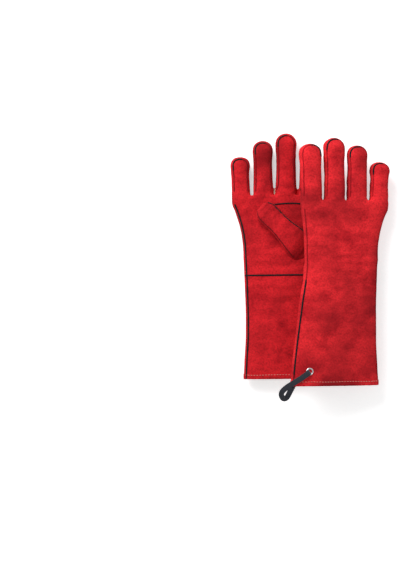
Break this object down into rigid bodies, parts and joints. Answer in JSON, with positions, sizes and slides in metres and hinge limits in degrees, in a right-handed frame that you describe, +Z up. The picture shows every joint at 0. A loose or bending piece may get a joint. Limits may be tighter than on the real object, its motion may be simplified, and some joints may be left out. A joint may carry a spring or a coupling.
{
  "type": "heat resistant glove",
  "caption": "Pair of long suede heat gauntlets lying flat, lined, with piped fingers that bend, welted seams, a bound mouth and a tape hanging loop.",
  "frame": {"origin": "middle of the pair's base, on the surface that the pair lies on", "axes": "+Y towards the fingertips, +Z up, +X towards the little finger of the top glove"},
  "size_m": [0.2246, 0.3786, 0.0704],
  "materials": {
    "suede": "matt split suede",
    "piping": "woven piping",
    "lining": "brushed cotton fleece",
    "tape": "woven webbing",
    "eyelet": "pressed and polished"
  },
  "bodies": {
    "under_glove": {"under_back_panel": "suede", "under_palm_panel": "suede", "under_cuff_palm": "suede", "under_lining": "lining", "under_side_piping": "piping", "under_wrist_welt": "piping", "under_finger_base_welt": "piping", "under_hem": "suede", "under_index_back": "suede", "under_index_palm": "suede", "under_index_piping": "piping", "under_index_lining": "lining"},
    "top_glove": {"top_back_panel": "suede", "top_palm_panel": "suede", "top_cuff_palm": "suede", "top_lining": "lining", "top_side_piping": "piping", "top_wrist_welt": "piping", "top_finger_base_welt": "piping", "top_hem": "suede", "top_thumb_back": "suede", "top_thumb_palm": "suede", "top_thumb_piping": "piping", "top_thumb_lining": "lining", "eyelet": "eyelet", "eyelet_washer": "eyelet"},
    "under_middle": {"under_middle_back": "suede", "under_middle_palm": "suede", "under_middle_piping": "piping", "under_middle_lining": "lining"},
    "under_ring": {"under_ring_back": "suede", "under_ring_palm": "suede", "under_ring_piping": "piping", "under_ring_lining": "lining"},
    "under_little": {"under_little_back": "suede", "under_little_palm": "suede", "under_little_piping": "piping", "under_little_lining": "lining"},
    "under_thumb": {"under_thumb_back": "suede", "under_thumb_palm": "suede", "under_thumb_piping": "piping", "under_thumb_lining": "lining"},
    "top_index": {"top_index_back": "suede", "top_index_palm": "suede", "top_index_piping": "piping", "top_index_lining": "lining"},
    "top_middle": {"top_middle_back": "suede", "top_middle_palm": "suede", "top_middle_piping": "piping", "top_middle_lining": "lining"},
    "top_ring": {"top_ring_back": "suede", "top_ring_palm": "suede", "top_ring_piping": "piping", "top_ring_lining": "lining"},
    "top_little": {"top_little_back": "suede", "top_little_palm": "suede", "top_little_piping": "piping", "top_little_lining": "lining"},
    "loop": {"hanging_loop": "tape"}
  },
  "joints": [
    {"name": "glove_lift", "type": "slide", "parent": "under_glove", "child": "top_glove", "axis": [0, 0, 1], "range_m": [0, 0.15]},
    {"name": "top_index_bend", "type": "hinge", "parent": "top_glove", "child": "top_index", "pos_m": [0.0054, 0.08805, 0.05869], "axis": [0.9653, 0.0349, -0.2587], "range_deg": [0, 45]},
    {"name": "top_middle_bend", "type": "hinge", "parent": "top_glove", "child": "top_middle", "pos_m": [0.03703, 0.09205, 0.05022], "axis": [0.9659, 0, -0.2588], "range_deg": [0, 45]},
    {"name": "top_ring_bend", "type": "hinge", "parent": "top_glove", "child": "top_ring", "pos_m": [0.06833, 0.09205, 0.04183], "axis": [0.9658, 0.014, -0.2588], "range_deg": [0, 45]},
    {"name": "top_little_bend", "type": "hinge", "parent": "top_glove", "child": "top_little", "pos_m": [0.09875, 0.08405, 0.03368], "axis": [0.9659, -0.0105, -0.2588], "range_deg": [0, 45]},
    {"name": "under_middle_bend", "type": "hinge", "parent": "under_glove", "child": "under_middle", "pos_m": [-0.0331, 0.10054, 0.024], "axis": [0.9999, 0.0122, 0], "range_deg": [0, 60]},
    {"name": "under_ring_bend", "type": "hinge", "parent": "under_glove", "child": "under_ring", "pos_m": [-0.0655, 0.10014, 0.024], "axis": [1, -0.0017, 0], "range_deg": [0, 60]},
    {"name": "under_little_bend", "type": "hinge", "parent": "under_glove", "child": "under_little", "pos_m": [-0.0969, 0.09176, 0.024], "axis": [0.9997, 0.0227, 0], "range_deg": [0, 60]},
    {"name": "under_thumb_lift", "type": "hinge", "parent": "under_glove", "child": "under_thumb", "pos_m": [-0.02709, 0.04261, 0.0249], "axis": [0.6984, 0.7157, 0], "range_deg": [0, 35]},
    {"name": "loop_swing", "type": "hinge", "parent": "top_glove", "child": "loop", "pos_m": [-0.00141, -0.14895, 0.06052], "axis": [0.2588, 0, 0.9659], "range_deg": [0, 30]}
  ]
}
